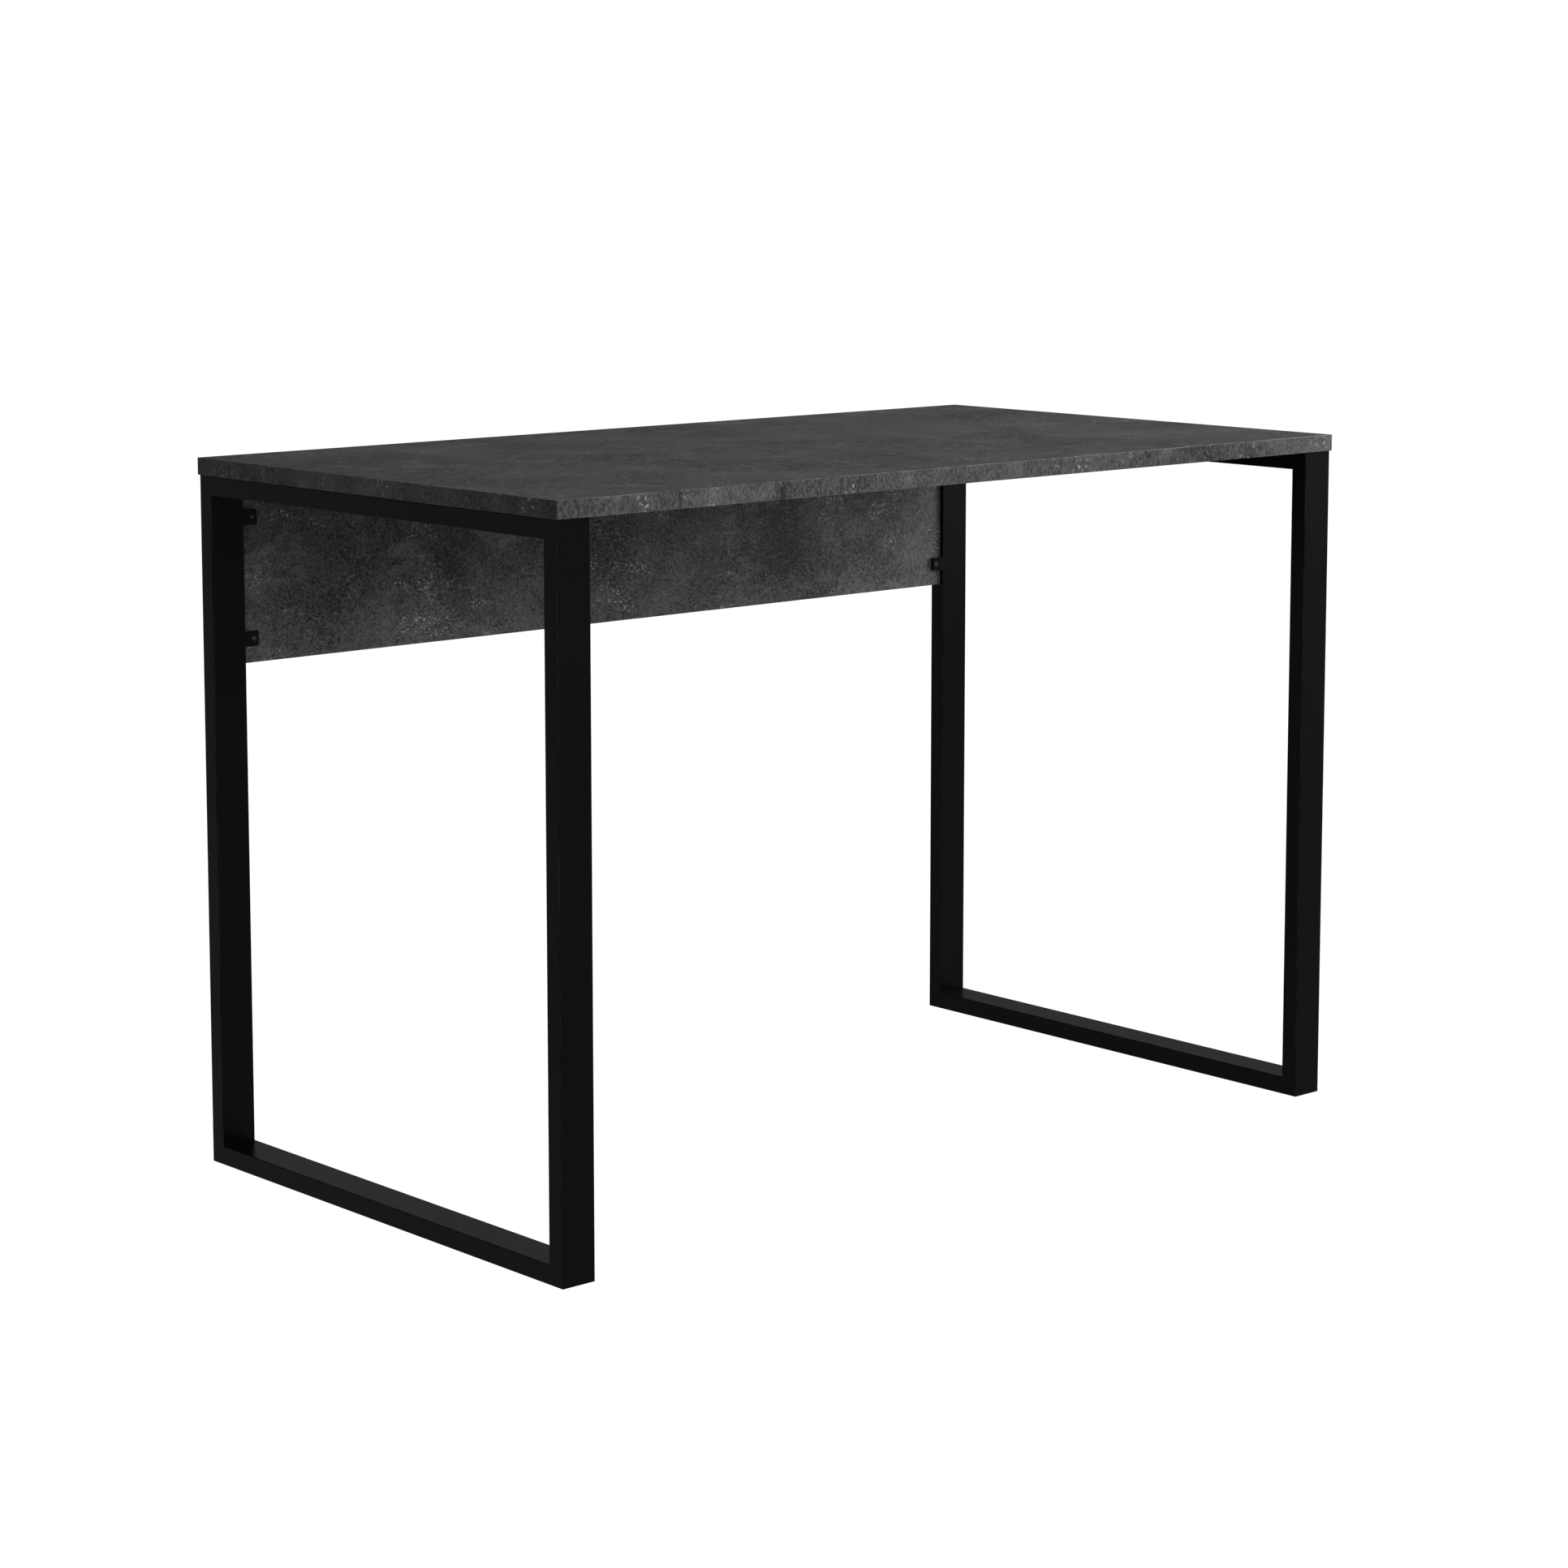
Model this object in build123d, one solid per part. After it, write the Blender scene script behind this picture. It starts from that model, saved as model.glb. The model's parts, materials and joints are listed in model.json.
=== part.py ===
from build123d import *
import os

# A desk: a laminated board on two closed side frames of steel tube, with a panel between the
# back legs. Sizes are in millimetres. The origin is on the floor under the middle of the top,
# +X is to the right of the person sitting at the desk, +Y points away from them, +Z is up.

# ---------------------------------------------------------------- driving dimensions

# The whole desk
TOP_WIDTH = 1100.0
TOP_DEPTH = 600.0
DESK_HEIGHT = 750.0
SIDE_OVERHANG = 1.0         # the top past the outer faces of the side frames
END_OVERHANG = 2.5          # the top past the front and the back of the side frames

# Boards and their edge bands
TOP_THICKNESS = 18.0
PANEL_THICKNESS = 16.0
PANEL_HEIGHT = 180.0
PANEL_SIDE_GAP = 0.5        # between each end of the panel and the leg beside it
BAND_THICKNESS = 1.0
BAND_ROUNDING = 0.5         # the outer edges of the bands are broken by this radius

# Frame tube
TUBE_WIDTH = 40.0           # along X
TUBE_DEPTH = 20.0           # in the plane of the frame
TUBE_WALL = 1.5
TUBE_CORNER_RADIUS = 1.0

# Tabs that carry the panel, one near each of its corners
TAB_SIZE = 16.0             # square, seen from the front
TAB_THICKNESS = 4.0
TAB_CORNER_RADIUS = 0.8
TAB_INSET = 18.0            # from the lower or upper edge of the panel to the nearer edge of a tab
TAB_HOLE_FROM_LEG = 10.5
TAB_HOLE_DIAMETER = 4.0

# Countersunk screws that hold the panel to the tabs
SCREW_DIAMETER = 3.5
SCREW_HEAD_DIAMETER = 6.6
SCREW_BITE = 12.0           # the length of the screw inside the panel
SCREW_TIP_LENGTH = 3.0
SCREW_RECESS_SPAN = 3.4
SCREW_RECESS_WIDTH = 0.9
SCREW_RECESS_DEPTH = 1.3
COUNTERSINK_MARGIN = 0.2    # the seat's mouth is this much wider than the head

# Bolts that hold the top to the side frames, with their washers and threaded inserts
BOLTS_FROM_FRAME_END = 67.5
BOLT_DIAMETER = 6.0
BOLT_ENGAGEMENT = 12.9      # with the washer and the tube's wall this is a 16 mm bolt
BOLT_HEAD_DIAMETER = 10.5
BOLT_HEAD_HEIGHT = 3.3
BOLT_HEAD_ROUNDING = 2.0
BOLT_SOCKET_FLATS = 4.0
BOLT_SOCKET_DEPTH = 2.0
BOLT_HOLE_DIAMETER = 6.6
ACCESS_HOLE_DIAMETER = 14.0
WASHER_DIAMETER = 12.0
WASHER_THICKNESS = 1.6
WASHER_HOLE_DIAMETER = 6.4
INSERT_DIAMETER = 10.0
INSERT_LENGTH = 13.0
POCKET_RELIEF = 1.0         # the pocket in the top is this much deeper than the insert

# Threads are drawn as plain cylinders of their outer diameter, with this gap all round
THREAD_CLEARANCE = 0.05

# ---------------------------------------------------------------- places that follow

TOP_UNDERSIDE = DESK_HEIGHT - TOP_THICKNESS
FRAME_DEPTH = TOP_DEPTH - 2 * END_OVERHANG
FRAME_X = TOP_WIDTH / 2 - SIDE_OVERHANG - TUBE_WIDTH / 2
LEG_INNER_X = FRAME_X - TUBE_WIDTH / 2
BACK_LEG_FRONT_Y = FRAME_DEPTH / 2 - TUBE_DEPTH
RAIL_UNDERSIDE = TOP_UNDERSIDE - TUBE_DEPTH
RAIL_WALL_Z = TOP_UNDERSIDE - TUBE_WALL       # the inner face of the top rail's upper wall
PANEL_FRONT_Y = BACK_LEG_FRONT_Y + TAB_THICKNESS
PANEL_TOP_Z = RAIL_UNDERSIDE
PANEL_CENTRE_Z = PANEL_TOP_Z - PANEL_HEIGHT / 2
TAB_OFFSET_Z = PANEL_HEIGHT / 2 - TAB_INSET - TAB_SIZE / 2
SCREW_X = LEG_INNER_X - TAB_HOLE_FROM_LEG
BOLT_Y = FRAME_DEPTH / 2 - BOLTS_FROM_FRAME_END

SIDES = {"left": -1, "right": 1}
TAB_ROWS = {"lower": -1, "upper": 1}

screw_places = [
    Pos(side * SCREW_X, BACK_LEG_FRONT_Y, PANEL_CENTRE_Z + row * TAB_OFFSET_Z)
    for side in SIDES.values()
    for row in TAB_ROWS.values()
]
bolt_places = [
    Pos(side * FRAME_X, y, 0)
    for side in SIDES.values()
    for y in (-BOLT_Y, 0, BOLT_Y)
]


# ---------------------------------------------------------------- boards


def banded_board(width, depth, thickness):
    """A board flat on the XY plane, centred on the origin, and the four bands on its edges.

    The front and back bands run the full width, and the left and right ones fit between them.
    """
    slab = Box(width, depth, thickness)
    slab = fillet(slab.edges(), BAND_ROUNDING)
    board = Box(width - 2 * BAND_THICKNESS, depth - 2 * BAND_THICKNESS, thickness)
    rim = slab - board
    long_band = Box(width, BAND_THICKNESS, thickness)
    short_band = Box(BAND_THICKNESS, depth - 2 * BAND_THICKNESS, thickness)
    band_x = (width - BAND_THICKNESS) / 2
    band_y = (depth - BAND_THICKNESS) / 2
    return {
        "board": board,
        "front": rim & Pos(0, -band_y, 0) * long_band,
        "back": rim & Pos(0, band_y, 0) * long_band,
        "left": rim & Pos(-band_x, 0, 0) * short_band,
        "right": rim & Pos(band_x, 0, 0) * short_band,
    }


def top_pieces():
    """The top with its bands, and the pockets in its underside for the inserts."""
    pieces = banded_board(TOP_WIDTH, TOP_DEPTH, TOP_THICKNESS)
    place = Pos(0, 0, TOP_UNDERSIDE + TOP_THICKNESS / 2)
    pieces = {name: place * piece for name, piece in pieces.items()}
    depth = INSERT_LENGTH + POCKET_RELIEF
    pocket = Pos(0, 0, TOP_UNDERSIDE + depth / 2)
    pocket *= Cylinder(INSERT_DIAMETER / 2 + THREAD_CLEARANCE, depth)
    for spot in bolt_places:
        pieces["board"] -= spot * pocket
    return {
        "top_board": pieces["board"],
        "top_edge_front": pieces["front"],
        "top_edge_back": pieces["back"],
        "top_edge_left": pieces["left"],
        "top_edge_right": pieces["right"],
    }


def panel_pieces():
    """The back panel with its bands, and the holes that its screws cut in it."""
    width = 2 * (LEG_INNER_X - PANEL_SIDE_GAP)
    pieces = banded_board(width, PANEL_HEIGHT, PANEL_THICKNESS)
    place = Pos(0, PANEL_FRONT_Y + PANEL_THICKNESS / 2, PANEL_CENTRE_Z) * Rot(90, 0, 0)
    pieces = {name: place * piece for name, piece in pieces.items()}
    depth = SCREW_BITE + THREAD_CLEARANCE
    hole = Pos(0, TAB_THICKNESS + depth / 2, 0) * Rot(90, 0, 0)
    hole *= Cylinder(SCREW_DIAMETER / 2 + THREAD_CLEARANCE, depth)
    for spot in screw_places:
        pieces["board"] -= spot * hole
    return {
        "panel_board": pieces["board"],
        "panel_edge_bottom": pieces["front"],
        "panel_edge_top": pieces["back"],
        "panel_edge_left": pieces["left"],
        "panel_edge_right": pieces["right"],
    }


# ---------------------------------------------------------------- side frames


def mitred_tube(length):
    """A tube along X, centred, with both ends cut at 45 degrees.

    Its long outer face lies on y = 0 and its shorter inner face on y = TUBE_DEPTH.
    """
    outline = RectangleRounded(TUBE_DEPTH, TUBE_WIDTH, TUBE_CORNER_RADIUS)
    bore = Rectangle(TUBE_DEPTH - 2 * TUBE_WALL, TUBE_WIDTH - 2 * TUBE_WALL)
    section = Plane.YZ * Pos(TUBE_DEPTH / 2, 0) * (outline - bore)
    tube = extrude(section, length / 2, both=True)
    for end in (-1, 1):
        mitre = Plane(origin=(end * length / 2, 0, 0), z_dir=(end, 1, 0))
        tube = split(tube, bisect_by=mitre, keep=Keep.BOTTOM)
    return tube


def frame_tube(length, middle, along, inward):
    """A mitred tube with the middle of its outer face at a point and its inner face inward."""
    along = Vector(along)
    place = Plane(origin=middle, x_dir=along, z_dir=along.cross(Vector(inward)))
    return place.location * mitred_tube(length)


def side_frame(side, x):
    """The four tubes of one closed side frame, with the bolt holes in its top rail."""
    half = FRAME_DEPTH / 2
    tubes = {
        "front_leg": frame_tube(TOP_UNDERSIDE, (x, -half, TOP_UNDERSIDE / 2), (0, 0, 1), (0, 1, 0)),
        "back_leg": frame_tube(TOP_UNDERSIDE, (x, half, TOP_UNDERSIDE / 2), (0, 0, 1), (0, -1, 0)),
        "floor_rail": frame_tube(FRAME_DEPTH, (x, 0, 0), (0, 1, 0), (0, 0, 1)),
        "top_rail": frame_tube(FRAME_DEPTH, (x, 0, TOP_UNDERSIDE), (0, 1, 0), (0, 0, -1)),
    }
    bolt_hole = Pos(0, 0, RAIL_WALL_Z) * Cylinder(BOLT_HOLE_DIAMETER / 2, 2 * TUBE_WALL + 1)
    access_hole = Pos(0, 0, RAIL_UNDERSIDE) * Cylinder(ACCESS_HOLE_DIAMETER / 2, 2 * TUBE_WALL + 1)
    for y in (-BOLT_Y, 0, BOLT_Y):
        tubes["top_rail"] -= Pos(x, y, 0) * bolt_hole
        tubes["top_rail"] -= Pos(x, y, 0) * access_hole
    return {f"{side}_{name}": tube for name, tube in tubes.items()}


# ---------------------------------------------------------------- tabs and screws


def tab_blank():
    """A tab for the left leg: its welded edge on x = 0, its front face on y = 0, z centred."""
    tab = Pos(TAB_SIZE / 2, TAB_THICKNESS / 2, 0) * Box(TAB_SIZE, TAB_THICKNESS, TAB_SIZE)
    free_corners = tab.edges().filter_by(Axis.Y).group_by(Axis.X)[-1]
    tab = fillet(free_corners, TAB_CORNER_RADIUS)
    hole = Cylinder(TAB_HOLE_DIAMETER / 2, 2 * TAB_THICKNESS)
    mouth = (SCREW_HEAD_DIAMETER + COUNTERSINK_MARGIN) / 2
    seat = Pos(0, 0, -mouth / 2) * Cone(0, mouth, mouth)
    return tab - Pos(TAB_HOLE_FROM_LEG, 0, 0) * Rot(90, 0, 0) * (hole + seat)


def tab_pieces():
    """One tab near each corner of the panel."""
    left_tab = tab_blank()
    blanks = {"left": left_tab, "right": mirror(left_tab, about=Plane.YZ)}
    tabs = {}
    for side, sign in SIDES.items():
        for row, step in TAB_ROWS.items():
            spot = Pos(sign * LEG_INNER_X, BACK_LEG_FRONT_Y, PANEL_CENTRE_Z + step * TAB_OFFSET_Z)
            tabs[f"{side}_{row}_tab"] = spot * blanks[side]
    return tabs


def panel_screw():
    """A countersunk screw along -Z with its head just under z = 0 and a cross recess in it."""
    radius = SCREW_DIAMETER / 2
    head_radius = SCREW_HEAD_DIAMETER / 2
    head_height = head_radius - radius
    length = TAB_THICKNESS + SCREW_BITE - COUNTERSINK_MARGIN / 2
    shank_length = length - head_height - SCREW_TIP_LENGTH
    screw = Pos(0, 0, -head_height / 2) * Cone(radius, head_radius, head_height)
    screw += Pos(0, 0, -head_height - shank_length / 2) * Cylinder(radius, shank_length)
    screw += Pos(0, 0, SCREW_TIP_LENGTH / 2 - length) * Cone(0, radius, SCREW_TIP_LENGTH)
    cross = Rectangle(SCREW_RECESS_SPAN, SCREW_RECESS_WIDTH)
    cross += Rectangle(SCREW_RECESS_WIDTH, SCREW_RECESS_SPAN)
    screw -= extrude(cross, -SCREW_RECESS_DEPTH)
    return Pos(0, 0, THREAD_CLEARANCE - COUNTERSINK_MARGIN / 2) * screw


# ---------------------------------------------------------------- bolts of the top


def top_bolt():
    """A button-head bolt along +Z, its head under z = 0 with a hexagon socket."""
    length = WASHER_THICKNESS + TUBE_WALL + BOLT_ENGAGEMENT
    head = Pos(0, 0, -BOLT_HEAD_HEIGHT / 2) * Cylinder(BOLT_HEAD_DIAMETER / 2, BOLT_HEAD_HEIGHT)
    head = fillet(head.edges().sort_by(Axis.Z)[0], BOLT_HEAD_ROUNDING)
    shank = Pos(0, 0, length / 2) * Cylinder(BOLT_DIAMETER / 2, length)
    socket = RegularPolygon(BOLT_SOCKET_FLATS / 2, 6, major_radius=False)
    return head + shank - Pos(0, 0, -BOLT_HEAD_HEIGHT) * extrude(socket, BOLT_SOCKET_DEPTH)


def washer():
    """A flat washer standing on z = 0."""
    ring = Circle(WASHER_DIAMETER / 2) - Circle(WASHER_HOLE_DIAMETER / 2)
    return extrude(ring, WASHER_THICKNESS)


def threaded_insert():
    """A threaded insert standing on z = 0."""
    ring = Circle(INSERT_DIAMETER / 2) - Circle(BOLT_DIAMETER / 2 + THREAD_CLEARANCE)
    return extrude(ring, INSERT_LENGTH)


def group(piece, places):
    """One solid at each place, kept apart in one compound."""
    return Compound([(place * piece).solid() for place in places])


# ---------------------------------------------------------------- the whole desk

nodes = {**top_pieces(), **panel_pieces(), **tab_pieces()}
for side_name, side_sign in SIDES.items():
    nodes.update(side_frame(side_name, side_sign * FRAME_X))

washer_place = Pos(0, 0, RAIL_WALL_Z - WASHER_THICKNESS)
insert_place = Pos(0, 0, TOP_UNDERSIDE)
nodes["panel_screws"] = group(Rot(90, 0, 0) * panel_screw(), screw_places)
nodes["top_bolts"] = group(washer_place * top_bolt(), bolt_places)
nodes["top_washers"] = group(washer_place * washer(), bolt_places)
nodes["top_inserts"] = group(insert_place * threaded_insert(), bolt_places)

os.makedirs("parts", exist_ok=True)
for node_name, shape in nodes.items():
    export_step(shape, f"parts/{node_name}.step")
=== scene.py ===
import functools
import json
import math

import bpy
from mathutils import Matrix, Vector


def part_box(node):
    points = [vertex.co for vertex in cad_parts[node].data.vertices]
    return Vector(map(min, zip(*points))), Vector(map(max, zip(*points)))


# A desk in a plain white studio. Everything is in metres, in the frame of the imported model:
# the origin is on the floor under the middle of the top, +Y points away from the sitter.

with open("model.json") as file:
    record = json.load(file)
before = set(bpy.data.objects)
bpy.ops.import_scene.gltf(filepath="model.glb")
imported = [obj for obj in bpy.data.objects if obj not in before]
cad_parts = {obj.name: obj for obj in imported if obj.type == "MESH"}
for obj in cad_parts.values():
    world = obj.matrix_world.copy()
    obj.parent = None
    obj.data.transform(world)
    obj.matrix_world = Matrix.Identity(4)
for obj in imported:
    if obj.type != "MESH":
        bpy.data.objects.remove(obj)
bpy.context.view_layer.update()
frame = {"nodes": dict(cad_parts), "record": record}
bpy.ops.object.select_all(action="DESELECT")


# ---------------------------------------------------------------- camera

CAMERA_PLACE = (-2.6813, -2.9921, 1.0954)
CAMERA_TURN = math.radians(41.852)      # from looking along +Y towards +X
CAMERA_DIP = math.radians(7.212)        # below the horizon
CAMERA_LENS = 85.976
CAMERA_SHIFT = -0.12

bpy.ops.object.camera_add(
    location=CAMERA_PLACE,
    rotation=(math.pi / 2 - CAMERA_DIP, 0, -CAMERA_TURN),
)
camera = bpy.context.object
camera.name = "studio_camera"
camera.data.lens = CAMERA_LENS
camera.data.shift_y = CAMERA_SHIFT
camera.data.dof.use_dof = False
bpy.context.scene.camera = camera


# ---------------------------------------------------------------- shader maths


class Number:
    """A number on a socket of a node tree. Sums and products with it add Math nodes."""

    def __init__(self, nodes, socket):
        self.nodes = nodes
        self.socket = socket

    def _maths(self, operation, *numbers):
        settings = {"operation": operation}
        return self.nodes.number("ShaderNodeMath", "Value", settings, dict(enumerate(numbers)))

    def __add__(self, other):
        return self._maths("ADD", self, other)

    def __sub__(self, other):
        return self._maths("SUBTRACT", self, other)

    def __rsub__(self, other):
        return self._maths("SUBTRACT", other, self)

    def __mul__(self, other):
        return self._maths("MULTIPLY", self, other)

    def __abs__(self):
        return self._maths("ABSOLUTE", self)

    __radd__ = __add__
    __rmul__ = __mul__

    def highest(self, other):
        """The larger of two numbers."""
        return self._maths("MAXIMUM", self, other)

    def over(self, edge, blend):
        """0 where the number is under edge - blend, 1 over edge + blend, smooth between."""
        sockets = {"Value": self, "From Min": edge - blend, "From Max": edge + blend}
        settings = {"interpolation_type": "SMOOTHSTEP"}
        return self.nodes.number("ShaderNodeMapRange", "Result", settings, sockets)

    def near(self, edges, reach):
        """1 where the number is on one of the edges, down to 0 at the reach from it."""
        lines = [1 - abs(self - edge).over(reach / 2, reach / 2) for edge in edges]
        return functools.reduce(Number.highest, lines)


class Nodes:
    """The node tree of a material or of the world."""

    def __init__(self, tree):
        self.tree = tree

    def feed(self, node, sockets):
        """Sets or links the sockets of a node, given by name or number."""
        for key, value in sockets.items():
            socket = node.inputs[key.replace("_", " ") if isinstance(key, str) else key]
            value = value.socket if isinstance(value, Number) else value
            if isinstance(value, bpy.types.NodeSocket):
                self.tree.links.new(value, socket)
            else:
                socket.default_value = value

    def node(self, kind, settings=None, sockets=None):
        """Adds a node with its settings, then its sockets."""
        made = self.tree.nodes.new(kind)
        for key, value in (settings or {}).items():
            setattr(made, key, value)
        self.feed(made, sockets or {})
        return made

    def number(self, kind, output, settings=None, sockets=None):
        """A new node's output as a Number."""
        return Number(self, self.node(kind, settings, sockets).outputs[output])

    def mixed(self, share, low, high):
        """A colour between low, at 0, and high, at 1."""
        sockets = {"Factor": share, 6: low, 7: high}
        return self.node("ShaderNodeMix", {"data_type": "RGBA"}, sockets).outputs[2]


class Finish(Nodes):
    """One material: patterns in the desk's own metres, and what they feed."""

    def __init__(self, name, **shader):
        self.material = bpy.data.materials.new(name)
        self.material.use_nodes = True
        super().__init__(self.material.node_tree)
        self.shader = self.tree.nodes["Principled BSDF"]
        self.surface(**shader)
        self.place = self.node("ShaderNodeTexCoord").outputs["Object"]

    def coordinate(self, axis):
        """How far along one axis a point is."""
        return self.number("ShaderNodeSeparateXYZ", axis, None, {"Vector": self.place})

    def vector(self, operation, first, second):
        """A Vector Math node's output."""
        settings = {"operation": operation}
        return self.node("ShaderNodeVectorMath", settings, {0: first, 1: second}).outputs["Vector"]

    def mapped(self, place, scale, shift=(0, 0, 0)):
        """A place scaled and then shifted, for a pattern of other proportions."""
        sockets = {"Vector": place, "Scale": scale, "Location": shift}
        return self.node("ShaderNodeMapping", None, sockets).outputs["Vector"]

    def _noise(self, place, size, detail, roughness):
        sockets = {"Vector": place, "Scale": 1 / size, "Detail": detail, "Roughness": roughness}
        return self.node("ShaderNodeTexNoise", None, sockets)

    def noise(self, place, size, detail, roughness):
        """Noise with its largest lumps about size across, from 0 to 1 about 0.5."""
        return Number(self, self._noise(place, size, detail, roughness).outputs["Fac"])

    def swirled(self, place, size, reach):
        """A place pushed about by noise, so that a pattern there runs in swirls."""
        push = self._noise(place, size, 3, 0.6).outputs["Color"]
        push = self.vector("SUBTRACT", push, (0.5, 0.5, 0.5))
        push = self.vector("MULTIPLY", push, (reach, reach, reach))
        return self.vector("ADD", place, push)

    def surface(self, **sockets):
        """Feeds the shader's own sockets."""
        self.feed(self.shader, sockets)

    def bumped(self, height, depth):
        """A normal bent by a height from 0 to 1 that stands for depth."""
        sockets = {"Height": height, "Distance": depth, "Strength": 1.0}
        self.surface(Normal=self.node("ShaderNodeBump", None, sockets).outputs["Normal"])


def grey(value):
    return (value, value, value, 1.0)


# ---------------------------------------------------------------- finishes

# how far the lighter edges reach from an edge: rubbed thin coat on the tubes, painted arris
# highlight with some wear on the bands
ARRIS_REACH = 0.0009

# the decor: how large its features are, how deep its relief is, and its greys
CLOUD = 0.12
SWIRL = 0.11
SWIRL_REACH = 0.06
LIGHT_PATCH = 0.075
FLECK_CLUSTER = 0.065
FLECK = 0.0036
GRAIN = 0.0019
# the size of the breaks in the painted arris highlight and edge wear on the bands
DECOR_HIGHLIGHT_AND_WEAR = 0.05
DECOR_RELIEF = 0.00006
DECOR_DARK, DECOR_LIGHT = grey(0.003), grey(0.2)
CRUMB_GREY = grey(0.30)
FLECK_GREY = grey(0.5)
# the grey of the bands' painted arris highlight, with some edge wear
HIGHLIT_AND_WORN_DECOR = grey(0.22)

# the powder coat
COAT_DRIFT = 0.12
ORANGE_PEEL = 0.0022
PORE = 0.0006
COAT_RUBBING = 0.03
COAT_RELIEF = 0.00007
COAT_DARK, COAT_LIGHT = grey(0.0006), grey(0.0018)
RUBBED_COAT = grey(0.035)

# the black screws, which are worn between two depths behind the face of their tab
SCREW_RUBBING = 0.0012
SCREW_RELIEF = 0.00003
WORN_FROM, WORN_TO = 0.0008, 0.004
SCREW_DARK, SCREW_LIGHT = grey(0.012), grey(0.05)
WORN_SCREW = grey(0.55)

# the zinc plate
SPANGLE = 0.003
ZINC_RELIEF = 0.00002
ZINC_DARK, ZINC_LIGHT = (0.42, 0.43, 0.45, 1), (0.66, 0.67, 0.68, 1)


def concrete(
    name, shift, drift, crumb, scour, patch=0.12, fleck=0.55, grit=1.3,
    stretch=(1, 1, 1), roughness=0.55, rim=None,
):
    """Dark concrete-look decor.

    shift and stretch place the pattern along the axes. drift is how far the clouds go from
    dark to light, crumb the size of the crumbs in the scoured patches and scour their
    contrast. patch and fleck are the strength of the light patches and of the whitish
    flecks, and grit that of the fine grain. rim is an axis and the edges on it that are
    painted lighter: a painted arris highlight, with some edge wear.
    """
    finish = Finish(name, Specular_IOR_Level=0.3)
    place = finish.mapped(finish.place, [1 / s for s in stretch], shift)
    bent = finish.swirled(place, SWIRL, SWIRL_REACH)
    # features flattened, drawn out upwards, and moved aside so that they aren't the clouds again
    flat = finish.mapped(place, (1, 1, 1.9))
    bent_flat = finish.mapped(bent, (1, 1, 2.0))
    bent_tall = finish.mapped(bent, (1, 1, 0.12), (0.3, 0, 0))
    bent_aside = finish.mapped(bent, (1, 1, 1.3), (0, 0.7, 0))

    clouds = finish.noise(bent, CLOUD, 6, 0.7)
    light_patch = finish.noise(bent_flat, LIGHT_PATCH, 6, 0.66).over(0.60, 0.07)
    column = finish.noise(bent_tall, CLOUD, 3, 0.5).over(0.58, 0.03)
    rough = finish.noise(bent_aside, CLOUD, 9, 0.68)
    scoured = rough.over(0.51, 0.06)
    flakes = finish.noise(flat, crumb, 4, 0.8)
    grain = finish.noise(place, GRAIN, 1, 0.6)

    # how far from the darkest grey to the lightest
    tone = 0.268 + (clouds - 0.5) * drift + (grain - 0.5) * grit
    tone = tone + light_patch * patch + column * 0.05 - scoured * 0.06
    tone = tone + (flakes - 0.5) * (0.15 + scoured * scour)
    colour = finish.mixed(tone, DECOR_DARK, DECOR_LIGHT)
    crumbs = flakes.over(0.63, 0.03) * rough.over(0.56, 0.04)
    colour = finish.mixed(crumbs * 0.8, colour, CRUMB_GREY)
    cluster = finish.noise(bent_flat, FLECK_CLUSTER, 4, 0.6).over(0.585, 0.05)
    flecks = finish.noise(flat, FLECK, 2, 0.7).over(0.63, 0.04) * cluster
    colour = finish.mixed(flecks * fleck, colour, FLECK_GREY)
    dullness = roughness + (clouds - 0.5) * 0.12 + (grain - 0.5) * 0.10
    # painted arris highlight, with some edge wear: the bands turn lighter and glossier along the
    # rim's edges
    if rim:
        axis, edges = rim
        lighter_edges = finish.coordinate(axis).near(edges, ARRIS_REACH)
        lighter_edges = lighter_edges * finish.noise(bent, DECOR_HIGHLIGHT_AND_WEAR, 5, 0.7).over(0.52, 0.08)
        colour = finish.mixed(lighter_edges * 0.5, colour, HIGHLIT_AND_WORN_DECOR)
        dullness = dullness - lighter_edges * 0.08
    finish.surface(Base_Color=colour, Roughness=dullness)
    finish.bumped(grain * 0.6 + flakes * 0.4, DECOR_RELIEF)
    return finish.material


def tube_edges(finish, leg, floor_rail, top_rail):
    """1 along the edges of the side frames' tubes and 0 away from them.

    leg, floor_rail and top_rail are the boxes of the left frame's front leg and rails. The
    right frame and the back legs are their mirror images, so only distances are compared.
    """
    across = abs(finish.coordinate("X"))
    along = abs(finish.coordinate("Y"))
    height = finish.coordinate("Z")
    leg_outside, leg_inside = -leg[0].y, -leg[1].y
    window_floor, window_top = floor_rail[1].z, top_rail[0].z
    blend = ARRIS_REACH / 2
    in_window = height.over(window_floor, blend) * (1 - height.over(window_top, blend))
    between_legs = 1 - along.over(leg_inside, blend)

    side = across.near((-leg[0].x, -leg[1].x), ARRIS_REACH)
    outer_leg = along.near((leg_outside,), ARRIS_REACH)
    inner_leg = along.near((leg_inside,), ARRIS_REACH) * in_window
    outer_rail = height.near((floor_rail[0].z, top_rail[1].z), ARRIS_REACH)
    inner_rail = height.near((window_floor, window_top), ARRIS_REACH) * between_legs
    return side * outer_leg.highest(inner_leg).highest(outer_rail).highest(inner_rail)


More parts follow.
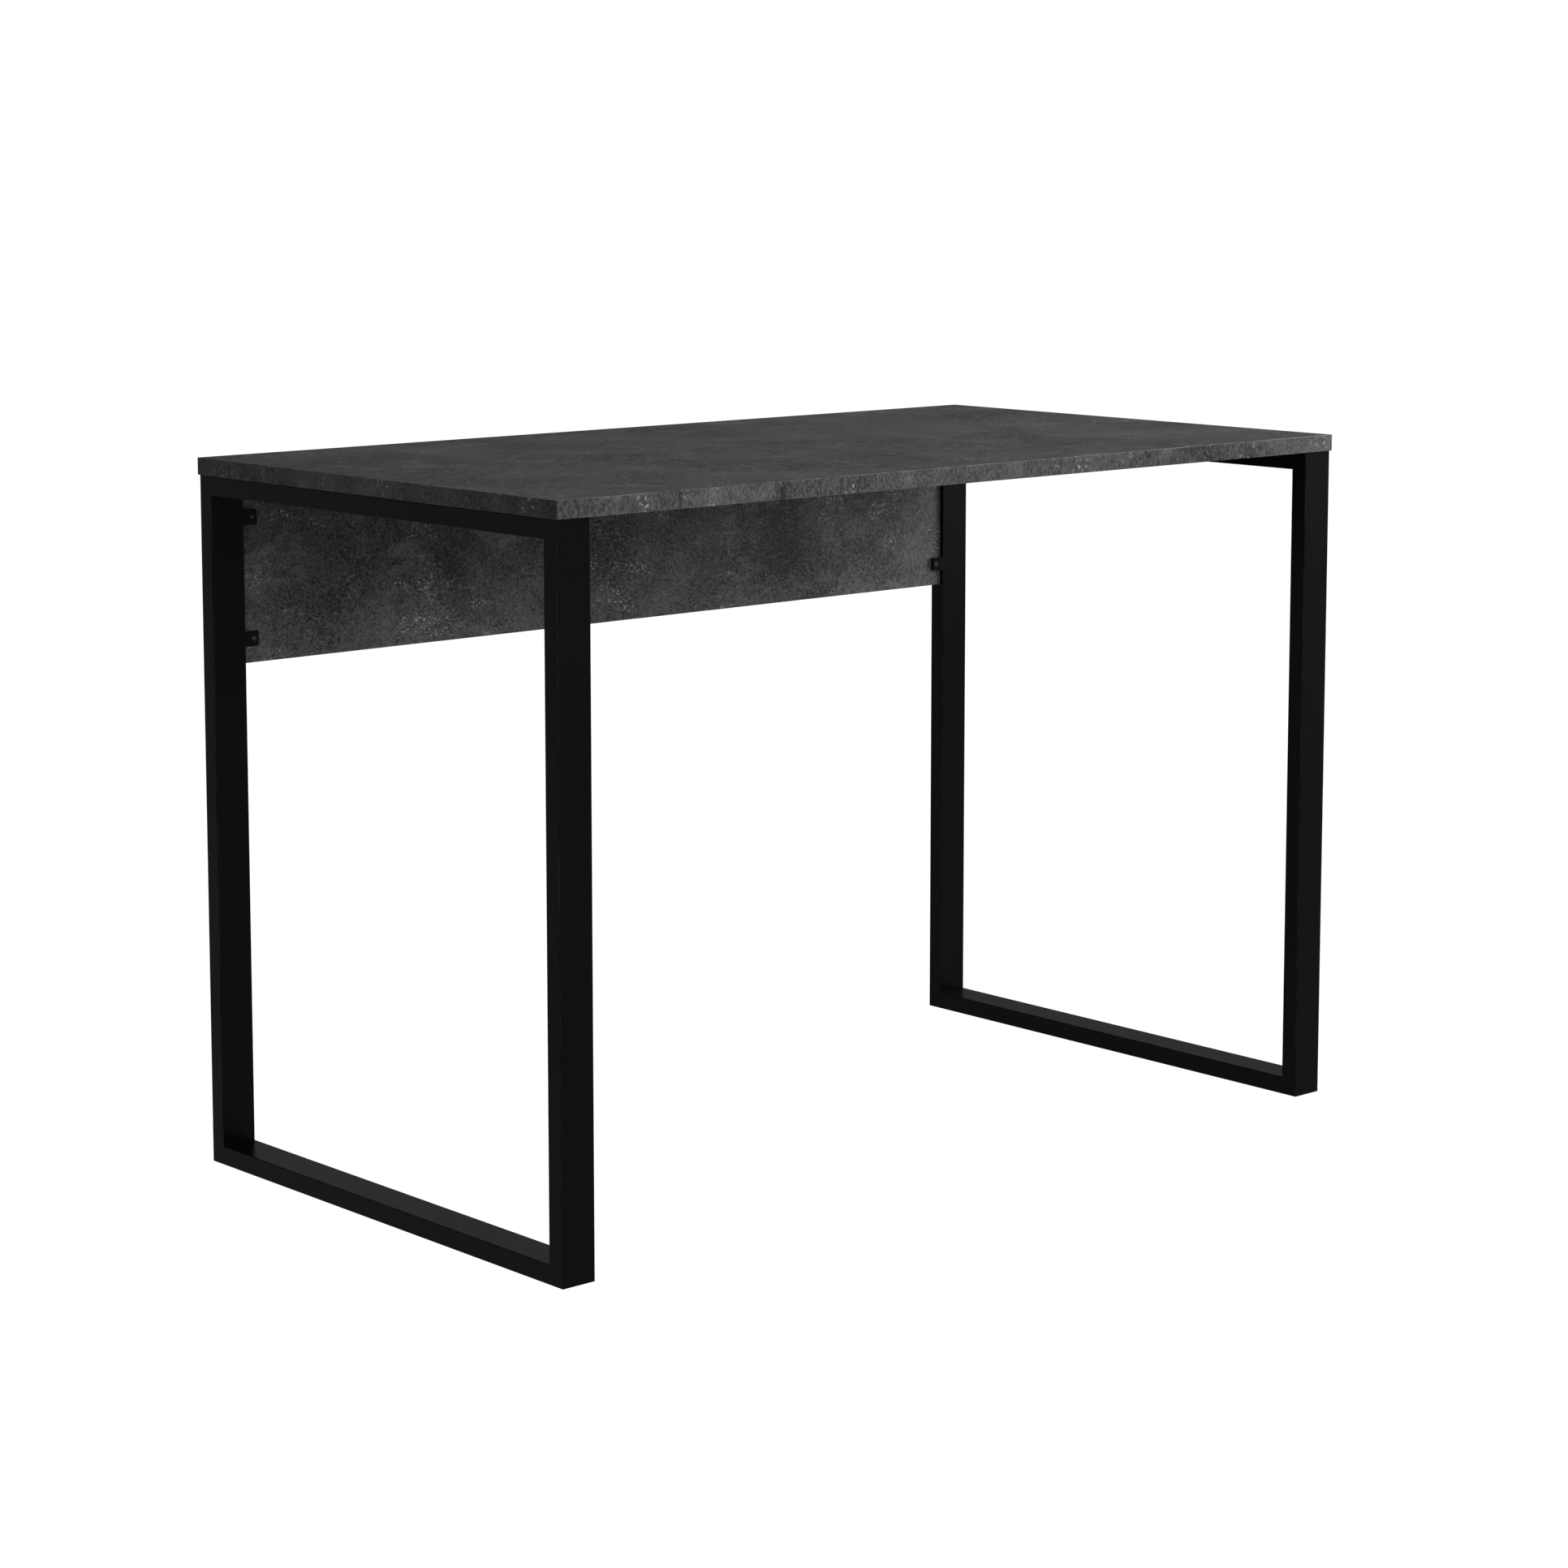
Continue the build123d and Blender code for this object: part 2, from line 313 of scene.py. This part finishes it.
def powder_coat(leg, floor_rail, top_rail):
    """Matt black powder coat: orange peel, fine pores, and edges where the coat is thin."""
    finish = Finish("matt_black_powder_coat", Specular_IOR_Level=0.14)
    peel = finish.noise(finish.place, ORANGE_PEEL, 2, 0.5)
    pores = finish.noise(finish.place, PORE, 1, 0.5)
    drift = finish.noise(finish.place, COAT_DRIFT, 3, 0.6)
    lighter_edges = tube_edges(finish, leg, floor_rail, top_rail)
    lighter_edges = lighter_edges * finish.noise(finish.place, COAT_RUBBING, 5, 0.7).over(0.50, 0.08)
    colour = finish.mixed(drift * 0.6 + pores * 0.4, COAT_DARK, COAT_LIGHT)
    colour = finish.mixed(lighter_edges * 0.8, colour, RUBBED_COAT)
    dullness = 0.27 + (drift - 0.5) * 0.10 + (peel - 0.5) * 0.08 - lighter_edges * 0.04
    finish.surface(Base_Color=colour, Roughness=dullness)
    finish.bumped(peel * 0.8 + pores * 0.2, COAT_RELIEF)
    return finish.material


def black_zinc(face):
    """Black zinc on the screws, worn bright by the driver in the recess behind the face."""
    finish = Finish("black_zinc", Metallic=0.9, Specular_IOR_Level=0.3)
    rub = finish.noise(finish.place, SCREW_RUBBING, 4, 0.65)
    depth = finish.coordinate("Y")
    worn = depth.over(face + WORN_FROM, 0.0003)
    worn = worn * (1 - depth.over(face + WORN_TO, 0.0005))
    colour = finish.mixed(rub, SCREW_DARK, SCREW_LIGHT)
    colour = finish.mixed(worn, colour, WORN_SCREW)
    finish.surface(Base_Color=colour, Roughness=0.5 - (rub - 0.5) * 0.3 - worn * 0.12)
    finish.bumped(rub, SCREW_RELIEF)
    return finish.material


def bright_zinc():
    """Zinc plate with faint spangles, on the bolts, washers and inserts."""
    finish = Finish("zinc_plate", Metallic=1.0)
    spangle = finish.noise(finish.place, SPANGLE, 3, 0.6)
    colour = finish.mixed(spangle, ZINC_DARK, ZINC_LIGHT)
    finish.surface(Base_Color=colour, Roughness=0.34 + (spangle - 0.5) * 0.25)
    finish.bumped(spangle, ZINC_RELIEF)
    return finish.material


# ---------------------------------------------------------------- the desk

TOP_FACE = concrete(
    "concrete_top", shift=(1.812, 1.849, 2.7), drift=0.6, crumb=0.008, scour=1.0
)
PANEL_FACE = concrete(
    "concrete_panel", shift=(0.163, 2.085, 2.077), drift=1.15, crumb=0.0065, scour=1.35,
    patch=0.25, fleck=0.9,
)
TOP_BAND = concrete(
    "concrete_band_top", shift=(0.2, 0.1, 0), drift=1.0, crumb=0.007, scour=0.6,
    grit=0.8, stretch=(1, 1, 2.2), roughness=0.5,
    rim=("Z", [corner.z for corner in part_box("top_edge_front")]),
)
PANEL_BAND = concrete(
    "concrete_band_panel", shift=(0.3, 0, 0.1), drift=1.0, crumb=0.007, scour=0.6,
    grit=0.8, stretch=(1, 2.2, 1), roughness=0.5,
    rim=("Y", [corner.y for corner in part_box("panel_edge_bottom")]),
)
METALS = {
    "powder_coated_steel": powder_coat(
        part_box("left_front_leg"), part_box("left_floor_rail"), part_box("left_top_rail")
    ),
    "black_screw": black_zinc(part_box("left_upper_tab")[0].y),
    "zinc_plate": bright_zinc(),
}


def finish_of(node, slot):
    """The finish of a piece of the desk, from its name and the slot it fills."""
    if slot == "laminate":
        return TOP_FACE if node == "top_board" else PANEL_FACE
    if slot == "edge_band":
        return TOP_BAND if node.startswith("top") else PANEL_BAND
    return METALS[slot]


for part in frame["record"]["subparts"]:
    for slot in frame["nodes"][part["node"]].material_slots:
        slot.material = finish_of(part["node"], part["material_slot"])


# ---------------------------------------------------------------- studio

WHITE = 1.05                # the floor and the air as the camera sees them
FLOOR_LIGHT = 0.28          # the light each casts on the desk
AIR_LIGHT = 0.12
FLOOR_SIZE = 60
LIT_POINT = Vector((0, 0, 0.6))
LIGHT_DISTANCE = 3.4


def glow(nodes, cast):
    """A grey light that is cast on the desk, and white where the camera sees it."""
    seen = nodes.number("ShaderNodeLightPath", "Is Camera Ray")
    return nodes.mixed(seen, grey(cast), grey(WHITE))


def studio_floor():
    """A plain white floor, evenly lit from below."""
    bpy.ops.mesh.primitive_plane_add(size=FLOOR_SIZE, location=(0, 0, 0))
    floor = bpy.context.object
    floor.name = "studio_floor"
    finish = Finish("white_floor", Base_Color=grey(0.0), Roughness=1.0, Specular_IOR_Level=0.0)
    finish.surface(Emission_Color=glow(finish, FLOOR_LIGHT), Emission_Strength=1.0)
    floor.data.materials.append(finish.material)


def studio_air():
    """A fainter light from all round above the floor, and as white to the camera."""
    world = bpy.data.worlds.new("studio_air")
    bpy.context.scene.world = world
    world.use_nodes = True
    nodes = Nodes(world.node_tree)
    background = nodes.tree.nodes["Background"]
    nodes.feed(background, {"Color": glow(nodes, AIR_LIGHT), "Strength": 1.0})


def softbox(name, bearing, height, size, power):
    """An area light aimed at the lit point, at a bearing from +X and a height in degrees."""
    bearing, height = math.radians(bearing), math.radians(height)
    level = math.cos(height)
    arm = Vector((level * math.cos(bearing), level * math.sin(bearing), math.sin(height)))
    bpy.ops.object.light_add(type="AREA", location=LIT_POINT + arm * LIGHT_DISTANCE)
    light = bpy.context.object
    light.name = name
    light.data.shape = "RECTANGLE"
    light.data.size, light.data.size_y = size
    light.data.energy = power
    light.rotation_euler = (-arm).to_track_quat("-Z", "Y").to_euler()


studio_floor()
studio_air()
softbox("key_softbox", bearing=-20, height=35, size=(1.6, 1.6), power=57)
softbox("right_softbox", bearing=-13, height=12, size=(1.4, 1.4), power=57)
softbox("front_softbox", bearing=-94, height=20, size=(1.4, 1.4), power=74)
softbox("left_softbox", bearing=-150, height=12, size=(1.4, 1.4), power=7)
softbox("back_softbox", bearing=50, height=14, size=(2.4, 1.2), power=1.0)
bpy.context.scene.view_settings.view_transform = "Standard"
